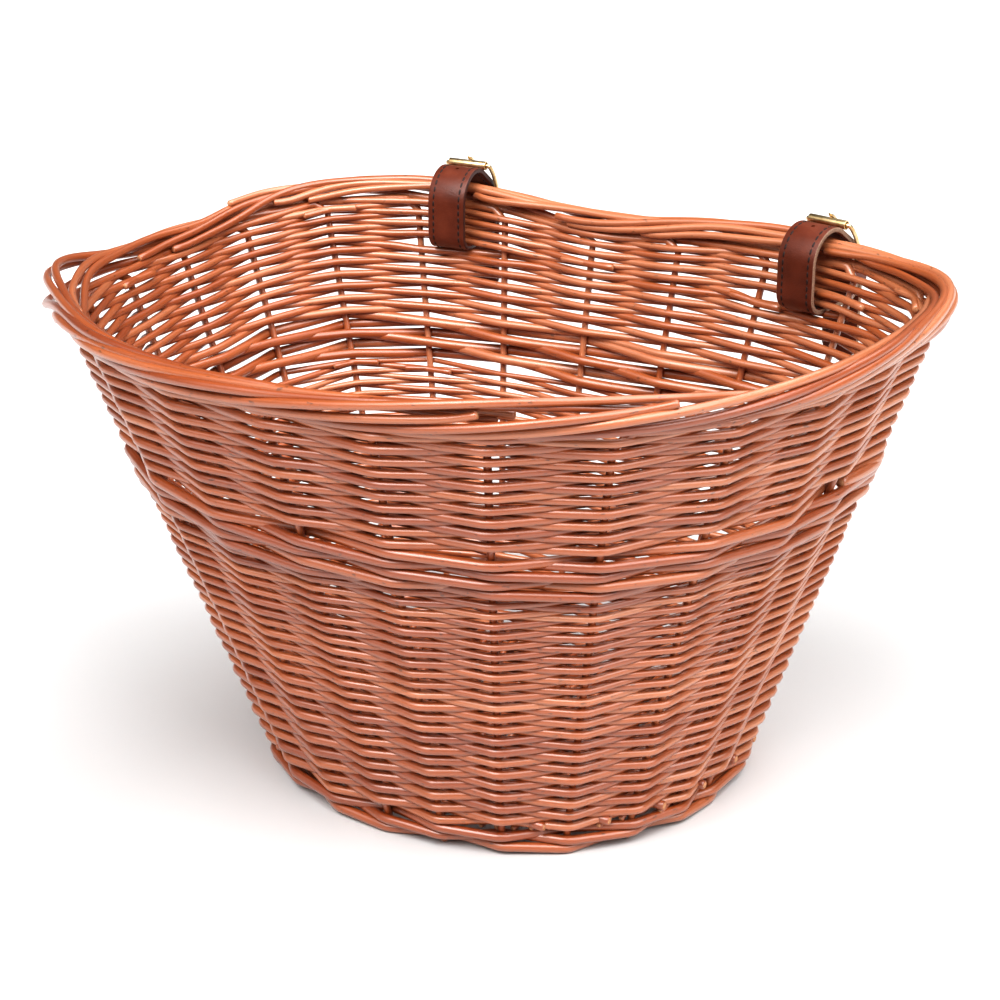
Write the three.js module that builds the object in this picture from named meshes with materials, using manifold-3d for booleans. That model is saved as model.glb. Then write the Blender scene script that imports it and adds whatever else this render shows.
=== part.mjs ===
// Wicker bicycle basket: a woven willow body with a rolled border, and two buckled leather straps.
// Millimetres, +Z up. The flat back with the straps faces +Y, the round front faces -Y, and the
// basket stands on z = 0 with its origin under the middle of its overall box.

import * as THREE from 'three';
import { mergeVertices } from 'three/addons/utils/BufferGeometryUtils.js';
import Module from 'manifold-3d';

const wasm = await Module();
wasm.setup();

// Outline of the wall's middle surface at the rim and at the foot: a superellipse front and back
const rimHeight = 238;
const rim = { halfWidth: 190, frontDepth: 192, backDepth: 120, frontRoundness: 2.3, backRoundness: 3.55 };
const foot = { halfWidth: 109, frontDepth: 102, backDepth: 71, frontRoundness: 2.2, backRoundness: 4 };

// Stakes: an odd number, so that one long weaver passes them on alternate sides turn after turn
const stakeCount = 23;
const stakeRadius = 2.15;
const stakeFootHeight = 1.2;
const stakeSides = 4;
const seamStake = 12;
const seamClosing = 0.85;

// Rolled border made of the stakes' own tails, which wind round each other like a rope
const borderStrands = 4;
const borderHalfThickness = 3.4;
const borderHalfHeight = 5;
const borderTailCut = 0.4;
const borderTailSteps = 12;
const borderBendRise = 5;
const borderTopRowDrop = 6.95;

// Weaving rods: half of the radial and of the upright size, and the gaps between neighbours
const weaverHalfThickness = 1.7;
const weaverHalfHeight = 2.05;
const waleHalfThickness = 2;
const waleHalfHeight = 2.1;
const weaveClearance = 1.35;
const seatGap = 0.3;

// Rows of the wall, from the ground up
const waleStroke = 3;
const footWaleRods = 3;
const midWaleRods = 6;
const lowerSidingBands = 7;
const lowerBandTurns = 4;
const upperBandTurns = [4, 3];
const topBandTurns = 4;

// Base: straight sticks that lie on the foot wale between the stakes, and one weaver through them
const baseStickHalf = 2.3;
const baseStickOverhang = 4;
const baseStickPlaces = [2.5, 3.5, 4.5, 5.5, 6.5, 7.25, 8.3];
const baseWeaverHalf = 1.5;
const baseWeaverPitch = 11;
const baseWeaveClearance = 1.3;
const baseWeaverMargin = 19;

// Straps: leather bands round the border, halfway between two stakes of the back
const strapPlaces = { right: 9.5, left: 13.5 };
const strapWidth = 20;
const strapThickness = 2.4;
const strapSlope = THREE.MathUtils.degToRad(35);
const strapBorderGap = 0.5;
const strapSlotGap = 0.5;
const strapInsideReach = 18;
const strapInsideRadius = 8;
const strapOutsideRadius = 7;
const strapTailDrop = 52;
const strapFoldRise = 7;
const spareHoleRadius = 2;
const spareHolePitch = 16;
const spareHoleCount = 2;

// Roller buckle: a curved frame, a loose roller on its front bar and a prong on its heel bar
const buckleSpan = 20;
const buckleRollerOut = 6;
const buckleBarRadius = 1.2;
const buckleArmThickness = 2.2;
const buckleArmHeight = 3;
const buckleArmBulge = 8;
const buckleSideGap = 0.75;
const rollerRadius = 2.2;
const rollerBoreGap = 0.35;
const rollerEndGap = 0.45;
const barGap = 0.4;
const prongWidth = 3;
const prongThickness = 2;
const prongEyeRadius = 2.9;
const prongEyeGap = 0.3;
const prongTipReach = 1.5;
const prongRootBack = 1;
const prongHumpBack = 4;
const prongSlotWidth = 4.4;
const prongSlotLength = 7;
const prongSlotShift = -2.4;
const roundSides = 10;

// Keeper: a leather loop round all layers of the strap below the buckle
const keeperHeight = 6;
const keeperThickness = 1.6;
const keeperRise = 1;
const keeperSlack = 1.8;

// Heights worked out from the rows, which share the wall's height evenly
const lowerSidingRows = lowerSidingBands * lowerBandTurns;
const upperSidingRows = upperBandTurns.reduce((sum, turns) => sum + turns, 0);
const sidingRows = lowerSidingRows + upperSidingRows + topBandTurns;
const baseRoom = 2 * baseStickHalf + 2 * seatGap;
const strapSlotRoom = strapThickness + 2 * strapSlotGap;
const rodRoom = 2 * waleHalfHeight * (footWaleRods + midWaleRods) + 2 * weaverHalfHeight * sidingRows;
const rowGaps = footWaleRods - 1 + lowerSidingRows + midWaleRods + upperSidingRows - 1 + topBandTurns - 1;
const rowGap = (rimHeight - borderTopRowDrop - baseRoom - strapSlotRoom - rodRoom) / rowGaps;
const footWaleBottom = waleHalfHeight;
const walePitch = 2 * waleHalfHeight + rowGap;
const weaverPitch = 2 * weaverHalfHeight + rowGap;
const footWaleTop = footWaleRods * walePitch - rowGap;
const baseStickHeight = footWaleTop + seatGap + baseStickHalf;
const lowerSidingBottom = baseStickHeight + baseStickHalf + seatGap + weaverHalfHeight;
const midWaleBottom = lowerSidingBottom + lowerSidingRows * weaverPitch - weaverHalfHeight + waleHalfHeight;
const upperSidingBottom = midWaleBottom + midWaleRods * walePitch - waleHalfHeight + weaverHalfHeight;
const strapSlotBottom = upperSidingBottom + upperSidingRows * weaverPitch - weaverHalfHeight - rowGap;
const strapSlotHeight = strapSlotBottom + strapSlotGap + strapThickness / 2;
const topSidingBottom = strapSlotHeight + strapThickness / 2 + strapSlotGap + weaverHalfHeight;
const borderTop = rimHeight + borderHalfHeight + stakeRadius;

// Finishes
const finishes = {
  willow: { color: 0xb9793c, roughness: 0.45, metalness: 0 },
  stake: { color: 0xa96b34, roughness: 0.45, metalness: 0 },
  leather: { color: 0x8a4a2c, roughness: 0.5, metalness: 0 },
  brass: { color: 0xd8b66a, roughness: 0.25, metalness: 1 },
};

const up = new THREE.Vector3(0, 0, 1);

// The wall: places are counted in stakes, counter-clockwise from the middle of the front

function outlinePoint(outline, angle) {
  const cosine = Math.cos(angle);
  const sine = Math.sin(angle);
  const depth = sine > 0 ? outline.backDepth : outline.frontDepth;
  const power = 2 / (sine > 0 ? outline.backRoundness : outline.frontRoundness);
  const x = outline.halfWidth * Math.sign(cosine) * Math.abs(cosine) ** power;
  const y = depth * Math.sign(sine) * Math.abs(sine) ** power;
  return new THREE.Vector2(x, y);
}

// Equal steps along the rim, as a running length over the angle
const rimSamples = 7200;
const rimAngle = (sample) => 2 * Math.PI * sample / rimSamples - Math.PI / 2;
const rimLengths = [0];
for (let sample = 1; sample <= rimSamples; sample += 1) {
  const before = outlinePoint(rim, rimAngle(sample - 1));
  const here = outlinePoint(rim, rimAngle(sample));
  rimLengths.push(rimLengths[sample - 1] + here.distanceTo(before));
}

function angleAtPlace(place) {
  const share = THREE.MathUtils.euclideanModulo(place, stakeCount) / stakeCount;
  const length = share * rimLengths[rimSamples];
  let low = 0;
  let high = rimSamples;
  while (high - low > 1) {
    const middle = Math.floor((low + high) / 2);
    if (rimLengths[middle] <= length) low = middle;
    else high = middle;
  }
  const within = (length - rimLengths[low]) / (rimLengths[high] - rimLengths[low]);
  return rimAngle(low + within);
}

function wallPoint(place, height) {
  const angle = angleAtPlace(place);
  const flat = outlinePoint(foot, angle).lerp(outlinePoint(rim, angle), height / rimHeight);
  return new THREE.Vector3(flat.x, flat.y, height);
}

// A point of the wall's middle surface, with the level directions along the wall and out of it,
// and the way that the leaning wall goes for each millimetre of height
function wallFrame(place, height) {
  const step = 0.02;
  const along = wallPoint(place + step, height).sub(wallPoint(place - step, height)).normalize();
  const out = new THREE.Vector3(along.y, -along.x, 0);
  const rise = wallPoint(place, rimHeight).sub(wallPoint(place, 0)).divideScalar(rimHeight);
  return { point: wallPoint(place, height), along, out, rise };
}

// Rods: a section carried from ring to ring, each ring with its own centre and directions

class RodPath extends THREE.Curve {
  constructor(rings) {
    super();
    this.rings = rings;
  }

  getPoint(share) {
    return this.rings[Math.round(share * (this.rings.length - 1))].point.clone();
  }

  getPointAt(share) {
    return this.getPoint(share);
  }

  computeFrenetFrames() {
    const normals = this.rings.map((ring) => ring.normal);
    const binormals = this.rings.map((ring) => ring.binormal);
    const tangents = this.rings.map((ring) => ring.normal.clone().cross(ring.binormal).normalize());
    return { tangents, normals, binormals };
  }
}

function rodGeometry(section, rings) {
  return new THREE.ExtrudeGeometry(section, {
    steps: rings.length - 1,
    bevelEnabled: false,
    extrudePath: new RodPath(rings),
  });
}

function rectangle(halfWidth, halfHeight) {
  return new THREE.Shape([
    new THREE.Vector2(-halfWidth, -halfHeight),
    new THREE.Vector2(halfWidth, -halfHeight),
    new THREE.Vector2(halfWidth, halfHeight),
    new THREE.Vector2(-halfWidth, halfHeight),
  ]);
}

function polygon(radius, sides, turn = 0) {
  const corners = [];
  for (let side = 0; side < sides; side += 1) {
    const angle = turn + 2 * Math.PI * side / sides;
    corners.push(new THREE.Vector2(radius * Math.cos(angle), radius * Math.sin(angle)));
  }
  return corners;
}

// Stakes: upright in the wall, then a tail that rolls up the outside, over the top and inside

function borderPoint(place, start) {
  const phase = 2 * Math.PI * (place - start) / borderStrands - Math.PI / 2;
  const { point, out } = wallFrame(place, rimHeight + borderHalfHeight * Math.sin(phase));
  return point.addScaledVector(out, borderHalfThickness * Math.cos(phase));
}

function stakeRings(stake) {
  const rings = [];
  const bendHeight = rimHeight - borderHalfHeight;
  for (const height of [stakeFootHeight, bendHeight - borderBendRise]) {
    const { point, along, out } = wallFrame(stake, height);
    rings.push({ point, normal: out, binormal: along });
  }
  const bend = wallFrame(stake, rimHeight);
  rings.push({
    point: borderPoint(stake, stake),
    normal: bend.out,
    binormal: bend.along.clone().sub(bend.rise),
  });
  const tailLength = borderStrands - borderTailCut;
  for (let step = 1; step <= borderTailSteps; step += 1) {
    const place = stake + tailLength * step / borderTailSteps;
    const near = 0.03;
    const tangent = borderPoint(place + near, stake).sub(borderPoint(place - near, stake)).normalize();
    const { out } = wallFrame(place, rimHeight);
    const normal = out.addScaledVector(tangent, -out.dot(tangent)).normalize();
    const binormal = tangent.clone().cross(normal);
    rings.push({ point: borderPoint(place, stake), normal, binormal });
  }
  return rings;
}

function stakeGeometry(stake) {
  const section = new THREE.Shape(polygon(stakeRadius, stakeSides, Math.PI / stakeSides));
  return rodGeometry(section, stakeRings(stake));
}

// Weavers: level rows that pass outside and inside the stakes. A seam in the back takes the climb
// from each turn to the next, and the last turn may close it most of the way.

function weaverRings({ turns, bottom, climb, halfThickness, sideAt, closing }) {
  const stakeHalf = stakeRadius * Math.cos(Math.PI / stakeSides);
  const offset = stakeHalf + weaveClearance + halfThickness;
  const ringAt = (passed, height, side) => {
    const { point, out, rise } = wallFrame(seamStake + passed, height);
    point.addScaledVector(out, offset * side);
    return { point, normal: out, binormal: rise.negate() };
  };
  const rings = [];
  const lastPassed = turns * stakeCount - 1;
  for (let passed = 0; passed <= lastPassed; passed += 1) {
    const turn = Math.floor(passed / stakeCount);
    rings.push(ringAt(passed, bottom + turn * climb, sideAt(passed)));
  }
  if (closing > 0) {
    const height = bottom + (turns - 1 + closing) * climb;
    const side = THREE.MathUtils.lerp(sideAt(lastPassed), sideAt(lastPassed + 1), closing);
    rings.push(ringAt(lastPassed + closing, height, side));
  }
  return rings;
}

function sidingGeometry(bottom, turns, turnsBefore, closing) {
  const sideAt = (passed) => ((passed + turnsBefore * stakeCount) % 2 === 0 ? 1 : -1);
  const rings = weaverRings({
    turns, bottom, climb: weaverPitch, halfThickness: weaverHalfThickness, sideAt, closing,
  });
  return rodGeometry(rectangle(weaverHalfThickness, weaverHalfHeight), rings);
}

// A wale rod passes outside two stakes and inside the third, one stake further on in each row
function waleGeometry(bottom, rod) {
  const sideAt = (passed) => ((passed + rod) % waleStroke === 0 ? -1 : 1);
  const rings = weaverRings({
    turns: 1,
    bottom: bottom + rod * walePitch,
    climb: 0,
    halfThickness: waleHalfThickness,
    sideAt,
    closing: seamClosing,
  });
  return rodGeometry(rectangle(waleHalfThickness, waleHalfHeight), rings);
}

// Base: sticks across the foot and one weaver that runs to and fro through them

function baseSticks() {
  return baseStickPlaces.map((place) => {
    const { point, out } = wallFrame(place, baseStickHeight);
    const halfLength = point.x + baseStickOverhang / out.x;
    const wovenHalf = point.x - baseWeaverMargin / out.x;
    return { y: point.y, halfLength, wovenHalf };
  });
}

function baseStickGeometry(stick) {
  const geometry = new THREE.BoxGeometry(2 * stick.halfLength, 2 * baseStickHalf, 2 * baseStickHalf);
  return geometry.translate(0, stick.y, baseStickHeight);
}

function baseWeaverPoints(sticks) {
  const pass = baseStickHalf + baseWeaveClearance + baseWeaverHalf;
  const turnReach = baseStickHalf + seatGap + baseWeaverHalf;
  const longest = sticks.reduce((best, stick) => (stick.wovenHalf > best.wovenHalf ? stick : best));
  const halfRuns = Math.floor(longest.wovenHalf / baseWeaverPitch);
  const points = [];
  for (let run = -halfRuns; run <= halfRuns; run += 1) {
    const x = run * baseWeaverPitch;
    const forward = (run + halfRuns) % 2 === 0;
    // A run turns into its neighbour past a stick that both of them cross
    const crossed = sticks.filter((stick) => {
      const neighbour = run + (forward === stick.y > longest.y ? 1 : -1);
      const farRun = Math.max(Math.abs(run), Math.min(Math.abs(neighbour), halfRuns));
      return stick.wovenHalf >= farRun * baseWeaverPitch;
    });
    const crossings = crossed.map((stick) => {
      const side = (run + halfRuns + sticks.indexOf(stick)) % 2 === 0 ? 1 : -1;
      return new THREE.Vector3(x, stick.y, baseStickHeight + side * pass);
    });
    const first = crossings[0].clone();
    first.y -= turnReach;
    const last = crossings[crossings.length - 1].clone();
    last.y += turnReach;
    const line = [first, ...crossings, last];
    points.push(...(forward ? line : line.reverse()));
  }
  return points;
}

// Upright rings along a route, mitred where the route turns
function mitredRings(points) {
  const level = (from, to) => new THREE.Vector3(to.x - from.x, to.y - from.y, 0).normalize();
  return points.map((point, index) => {
    const before = index > 0 ? level(points[index - 1], point) : level(point, points[index + 1]);
    const after = index < points.length - 1 ? level(point, points[index + 1]) : before;
    const middle = before.clone().add(after).normalize();
    const widening = 1 / middle.dot(before);
    return { point, normal: up.clone(), binormal: middle.cross(up).multiplyScalar(widening) };
  });
}

// Straps and buckles are drawn in a side view: x is out of the wall, y is up

const alongStrap = new THREE.Vector2(Math.cos(strapSlope), -Math.sin(strapSlope));
const offStrap = new THREE.Vector2(Math.sin(strapSlope), Math.cos(strapSlope));
const halfLeather = strapThickness / 2;
const foldRadius = buckleBarRadius + barGap + halfLeather;
const tailRadius = foldRadius + strapThickness + seatGap;
const underRoller = new THREE.Vector2(buckleRollerOut, borderTop + strapBorderGap + halfLeather);
const roller = underRoller.clone().addScaledVector(offStrap, halfLeather + seatGap + rollerRadius);
const overHeel = underRoller.clone().addScaledVector(alongStrap, buckleSpan);
const heel = overHeel.clone().addScaledVector(offStrap, -tailRadius);

// A point given from the heel bar, along the strap and off it
function fromHeel(along, off) {
  return heel.clone().addScaledVector(alongStrap, along).addScaledVector(offStrap, off);
}

// The outline of a band of even thickness along a line
function bandShape(points, thickness) {
  const sides = [1, -1].map((side) => points.map((point, index) => {
    const before = points[Math.max(index - 1, 0)];
    const after = points[Math.min(index + 1, points.length - 1)];
    const into = index > 0 ? point.clone().sub(before).normalize() : null;
    const onward = index < points.length - 1 ? after.clone().sub(point).normalize() : null;
    const middle = (into ?? onward).clone().add(onward ?? into).normalize();
    const widening = 1 / middle.dot(into ?? onward);
    const aside = new THREE.Vector2(-middle.y, middle.x);
    return point.clone().addScaledVector(aside, side * widening * thickness / 2);
  }));
  return new THREE.Shape([...sides[1], ...sides[0].reverse()]);
}

// A side view made solid: extruded across the strap, evenly to both sides of its middle
function acrossStrap(shape, width) {
  const geometry = new THREE.ExtrudeGeometry(shape, { depth: width, bevelEnabled: false });
  geometry.translate(0, 0, -width / 2);
  const turn = new THREE.Matrix4().makeBasis(new THREE.Vector3(0, 1, 0), up, new THREE.Vector3(1, 0, 0));
  return geometry.applyMatrix4(turn);
}

function roundShape(centre, radius, boreRadius = 0) {
  const ring = (size) => polygon(size, roundSides).map((corner) => corner.add(centre));
  const shape = new THREE.Shape(ring(radius));
  if (boreRadius > 0) shape.holes.push(new THREE.Path(ring(boreRadius)));
  return shape;
}

function toSolid(geometry) {
  const bare = geometry.clone();
  bare.deleteAttribute('normal');
  bare.deleteAttribute('uv');
  const merged = mergeVertices(bare, 1e-4);
  const vertProperties = new Float32Array(merged.attributes.position.array);
  const triVerts = new Uint32Array(merged.index.array);
  return new wasm.Manifold(new wasm.Mesh({ numProp: 3, vertProperties, triVerts }));
}

function toGeometry(solid) {
  const mesh = solid.getMesh();
  const geometry = new THREE.BufferGeometry();
  geometry.setAttribute('position', new THREE.BufferAttribute(new Float32Array(mesh.vertProperties), 3));
  geometry.setIndex(new THREE.BufferAttribute(new Uint32Array(mesh.triVerts), 1));
  geometry.computeVertexNormals();
  return geometry;
}

const rightTurn = Math.PI / 2;
const innerLayer = heel.x + foldRadius;
const foldLayer = innerLayer - strapThickness - seatGap;
const tailLayer = heel.x + tailRadius;
const foldStart = heel.y - strapFoldRise;
const insideLayer = -strapInsideReach;
const keeperBottom = strapSlotHeight + strapOutsideRadius + keeperRise;

// The strap from its sewn fold round the heel bar: down, in through the wall, up, over and down
function strapLine() {
  const topRadius = (underRoller.x - insideLayer) / (1 + offStrap.x);
  const topCentre = underRoller.clone().addScaledVector(offStrap, -topRadius);
  const outsideBend = new THREE.Vector2(innerLayer - strapOutsideRadius, strapSlotHeight + strapOutsideRadius);
  const insideBend = new THREE.Vector2(insideLayer + strapInsideRadius, strapSlotHeight + strapInsideRadius);
  const line = new THREE.Path();
  line.moveTo(foldLayer, keeperBottom);
  line.lineTo(foldLayer, foldStart);
  line.lineTo(heel.x - foldRadius, heel.y);
  line.absarc(heel.x, heel.y, foldRadius, 2 * rightTurn, 0, true);
  line.lineTo(innerLayer, outsideBend.y);
  line.absarc(outsideBend.x, outsideBend.y, strapOutsideRadius, 0, -rightTurn, true);
  line.lineTo(insideBend.x, strapSlotHeight);
  line.absarc(insideBend.x, insideBend.y, strapInsideRadius, -rightTurn, -2 * rightTurn, true);
  line.lineTo(insideLayer, topCentre.y);
  line.absarc(topCentre.x, topCentre.y, topRadius, 2 * rightTurn, rightTurn - strapSlope, true);
  line.lineTo(overHeel.x, overHeel.y);
  line.absarc(heel.x, heel.y, tailRadius, rightTurn - strapSlope, 0, true);
  line.lineTo(tailLayer, heel.y - strapTailDrop);
  const arcSteps = 3;
  return line.getPoints(arcSteps);
}

function strapGeometry() {
  let solid = toSolid(acrossStrap(bandShape(strapLine(), strapThickness), strapWidth));
  const slotMiddle = fromHeel(prongSlotShift, tailRadius);
  const slotLine = [-1, 1].map((end) => slotMiddle.clone()
    .addScaledVector(alongStrap, end * prongSlotLength / 2));
  solid = solid.subtract(toSolid(acrossStrap(bandShape(slotLine, 2 * strapThickness), prongSlotWidth)));
  const eyeRoom = roundShape(heel, tailRadius - halfLeather - seatGap / 2);
  solid = solid.subtract(toSolid(acrossStrap(eyeRoom, prongSlotWidth)));
  for (let hole = 1; hole <= spareHoleCount; hole += 1) {
    const punch = new THREE.CylinderGeometry(
      spareHoleRadius, spareHoleRadius, 2 * strapThickness, roundSides);
    const height = heel.y - strapTailDrop + hole * spareHolePitch - spareHolePitch / 2;
    punch.translate(0, tailLayer, height);
    solid = solid.subtract(toSolid(punch));
  }
  return toGeometry(solid);
}

function buckleFrameGeometry() {
  const armInside = strapWidth / 2 + buckleSideGap;
  const frontBar = roller.clone();
  const middle = heel.clone().lerp(frontBar, 0.5).addScaledVector(offStrap, buckleArmBulge / 2);
  const curve = new THREE.QuadraticBezierCurve(heel, middle, frontBar);
  const steps = 6;
  const points = curve.getPoints(steps);
  const endReach = buckleArmHeight / 2;
  const startWay = curve.getTangent(0);
  const endWay = curve.getTangent(1);
  points[0] = points[0].clone().addScaledVector(startWay, -endReach);
  points[steps] = points[steps].clone().addScaledVector(endWay, endReach);
  const armShape = bandShape(points, buckleArmHeight);
  const barLength = 2 * (armInside + buckleArmThickness);
  let solid = toSolid(acrossStrap(roundShape(heel, buckleBarRadius), barLength));
  solid = solid.add(toSolid(acrossStrap(roundShape(frontBar, buckleBarRadius), barLength)));
  for (const side of [-1, 1]) {
    const arm = acrossStrap(armShape, buckleArmThickness);
    arm.translate(side * (armInside + buckleArmThickness / 2), 0, 0);
    solid = solid.add(toSolid(arm));
  }
  return toGeometry(solid);
}

function rollerGeometry() {
  const length = 2 * (strapWidth / 2 + buckleSideGap - rollerEndGap);
  return acrossStrap(roundShape(roller, rollerRadius, buckleBarRadius + rollerBoreGap), length);
}

function prongGeometry() {
  const rollerTop = tailRadius + halfLeather + seatGap + 2 * rollerRadius;
  const rest = rollerTop + seatGap + prongThickness / 2;
  const root = fromHeel(-prongRootBack, (buckleBarRadius + prongEyeGap + prongEyeRadius) / 2);
  const hump = fromHeel(-prongHumpBack, rest + seatGap);
  const tip = fromHeel(-buckleSpan - prongTipReach, rest);
  const steps = 8;
  const shank = bandShape(new THREE.QuadraticBezierCurve(root, hump, tip).getPoints(steps), prongThickness);
  const eye = roundShape(heel, prongEyeRadius, buckleBarRadius + prongEyeGap);
  const bore = roundShape(heel, buckleBarRadius + prongEyeGap);
  return toGeometry(toSolid(acrossStrap(shank, prongWidth))
    .add(toSolid(acrossStrap(eye, prongWidth)))
    .subtract(toSolid(acrossStrap(bore, 2 * prongWidth))));
}

function keeperGeometry() {
  const innerHalf = strapWidth / 2 + seatGap;
  const innerNear = foldLayer - halfLeather - seatGap - keeperSlack;
  const innerFar = tailLayer + halfLeather + seatGap;
  const loop = (grow) => [
    new THREE.Vector2(-innerHalf - grow, innerNear - grow),
    new THREE.Vector2(innerHalf + grow, innerNear - grow),
    new THREE.Vector2(innerHalf + grow, innerFar + grow),
    new THREE.Vector2(-innerHalf - grow, innerFar + grow),
  ];
  const shape = new THREE.Shape(loop(keeperThickness));
  shape.holes.push(new THREE.Path(loop(0)));
  const geometry = new THREE.ExtrudeGeometry(shape, { depth: keeperHeight, bevelEnabled: false });
  return geometry.translate(0, 0, keeperBottom);
}

// Assembly

const basket = new THREE.Group();

function addPiece(parent, name, geometry, finish) {
  const mesh = new THREE.Mesh(geometry, new THREE.MeshStandardMaterial(finishes[finish]));
  mesh.name = name;
  parent.add(mesh);
}

const twoDigits = (number) => String(number).padStart(2, '0');

for (let stake = 0; stake < stakeCount; stake += 1) {
  addPiece(basket, `stake_${twoDigits(stake + 1)}`, stakeGeometry(stake), 'stake');
}

for (let rod = 0; rod < footWaleRods; rod += 1) {
  addPiece(basket, `foot_wale_rod_${rod + 1}`, waleGeometry(footWaleBottom, rod), 'willow');
}
for (let rod = 0; rod < midWaleRods; rod += 1) {
  addPiece(basket, `mid_wale_rod_${rod + 1}`, waleGeometry(midWaleBottom, rod), 'willow');
}

// Bands of siding follow on from each other, and the topmost one of a group leaves the seam open
function addSiding(name, bottom, bandTurns, turnsBefore) {
  let turnsBelow = 0;
  bandTurns.forEach((turns, band) => {
    const closing = band < bandTurns.length - 1 ? seamClosing : 0;
    const bandBottom = bottom + turnsBelow * weaverPitch;
    const geometry = sidingGeometry(bandBottom, turns, turnsBefore + turnsBelow, closing);
    addPiece(basket, bandTurns.length > 1 ? `${name}_${band + 1}` : name, geometry, 'willow');
    turnsBelow += turns;
  });
}

addSiding('lower_siding', lowerSidingBottom, Array(lowerSidingBands).fill(lowerBandTurns), 0);
addSiding('upper_siding', upperSidingBottom, upperBandTurns, 0);
addSiding('top_siding', topSidingBottom, [topBandTurns], upperSidingRows);

const sticks = baseSticks();
sticks.forEach((stick, index) => {
  addPiece(basket, `base_stick_${index + 1}`, baseStickGeometry(stick), 'stake');
});
const baseWeaverSection = rectangle(baseWeaverHalf, baseWeaverHalf);
const baseWeaver = rodGeometry(baseWeaverSection, mitredRings(baseWeaverPoints(sticks)));
addPiece(basket, 'base_weaver', baseWeaver, 'willow');

for (const [side, place] of Object.entries(strapPlaces)) {
  const { point, out } = wallFrame(place, rimHeight);
  const hanger = new THREE.Group();
  hanger.position.set(point.x, point.y, 0);
  hanger.rotation.z = Math.atan2(out.y, out.x) - Math.PI / 2;
  addPiece(hanger, `${side}_strap`, strapGeometry(), 'leather');
  addPiece(hanger, `${side}_buckle_frame`, buckleFrameGeometry(), 'brass');
  addPiece(hanger, `${side}_buckle_roller`, rollerGeometry(), 'brass');
  addPiece(hanger, `${side}_buckle_prong`, prongGeometry(), 'brass');
  addPiece(hanger, `${side}_strap_keeper`, keeperGeometry(), 'leather');
  basket.add(hanger);
}

// The origin is under the middle of the overall box
basket.updateMatrixWorld(true);
const middle = new THREE.Box3().setFromObject(basket, true).getCenter(new THREE.Vector3());
basket.position.set(-middle.x, -middle.y, 0);

export default basket;
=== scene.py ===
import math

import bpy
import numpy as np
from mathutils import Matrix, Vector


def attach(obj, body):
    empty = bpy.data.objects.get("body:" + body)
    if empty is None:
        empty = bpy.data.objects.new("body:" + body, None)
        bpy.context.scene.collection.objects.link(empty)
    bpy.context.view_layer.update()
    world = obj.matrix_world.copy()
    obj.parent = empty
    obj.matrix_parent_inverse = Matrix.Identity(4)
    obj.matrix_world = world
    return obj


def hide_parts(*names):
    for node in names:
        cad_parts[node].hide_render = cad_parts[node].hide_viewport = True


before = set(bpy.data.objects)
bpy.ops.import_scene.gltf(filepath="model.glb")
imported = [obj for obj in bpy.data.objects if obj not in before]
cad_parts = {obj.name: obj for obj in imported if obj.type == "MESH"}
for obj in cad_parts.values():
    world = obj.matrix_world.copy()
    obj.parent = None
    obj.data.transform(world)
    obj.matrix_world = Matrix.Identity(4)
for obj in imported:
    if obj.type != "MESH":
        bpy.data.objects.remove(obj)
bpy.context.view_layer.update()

# Wicker bicycle basket with two buckled leather straps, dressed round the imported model.
# Sizes are millimetres in the wall's own axes: x to the right, y to the back, z up, with y = 0 on
# the line where the basket is widest. They become metres of the frame where a mesh is made. Places
# and distances round the basket are counted in stakes.

RANDOM_SEED = 23
chance = np.random.default_rng(RANDOM_SEED)
METRE = 1000.0
UP = (0.0, 0.0, 1.0)
FULL_TURN = 2 * math.pi
QUARTER_TURN = math.pi / 2

# Wall, as in the solids: a rounded D that widens from the foot to the rim
RIM_HEIGHT = 238.0
RIM = {"half_width": 190, "front_depth": 192, "back_depth": 120, "front_power": 2.3, "back_power": 3.55}
FOOT = {"half_width": 109, "front_depth": 102, "back_depth": 71, "front_power": 2.2, "back_power": 4.0}
STAKES = 23
STAKE_FOOT = 1.2
STAKE_RADIUS = 1.75
STAKE_SWAY = 0.05
STAKE_STEPS = 24
STAKE_TOP = RIM_HEIGHT - 10
RIM_STEPS = 7200
OUT_STEP = 0.02

# Rows of the wall, from the ground up
FOOT_WALE = {"rods": 3, "bottom": 3.55, "pitch": 3.5, "radius": 2.4, "slant": 0.8}
LOWER_SIDING = {"rows": 43, "bottom": 13.2, "top": 152.0, "thick": 2.2, "thin": 1.5,
                "crowding": 0.2, "back_crowding": 0.2}
MID_WALE = {"rods": 6, "bottom": 154.6, "pitch": 3.4, "radius": 2.45, "slant": 1.1}
UPPER_SIDING = {"rows": 20, "bottom": 174.9, "top": 234.8, "thick": 2.05, "thin": 1.85,
                "crowding": 0.0, "back_crowding": 0.2}

# Rods of the rows: scatter, taper, bevels and PRESS are shares of a rod's radius
SIDING_ROD = {"pairs": (8, 15), "scatter": (0.93, 1.07), "taper": (1.07, 0.9), "lift": 0.12, "fade_rows": 3}
WALE_ROD = {"start": 0.8, "past": 1.3, "scatter": (0.94, 1.06), "taper": (1.05, 0.92), "wave": 0.5}
ROD_END = {"past": 0.3, "tuck_depth": 2.6, "tuck_length": 0.55, "tuck_power": 1.5,
           "bevel_length": 0.35, "bevel_radius": 0.75}
PRESS = 0.92
GRAIN_SPREAD = 4000
SEAM_PLACE = 7
FRONT_SWELL = 0.09
# Painted light: rods are painted paler towards the back, most at this place, standing in for light on the
# inside of the back wall
BACK_PAINTED_LIGHT = {"place": 10.8, "share": 0.72}
WALE_STROKE = 3
EASING = {"reach": 0.075, "steps": 5}
STEPS_PER_STAKE = 12
ROD_SIDES = 8

# Waves of the rows: height at weight 1, then each wave's weight, count round, rise for a radian and phase
ROW_WAVE = 0.54
ROW_WAVES = ((1.0, 3, 37, 0.0), (0.7, 5, -23, 1.3), (0.5, 11, 11, 0.0))

# Where the rim has settled: place, spread in stakes, depth
SETTLING = ((11.9, 1.2, 6.5), (16.7, 2.1, 9.0))
SETTLED_FROM = 176.0

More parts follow.
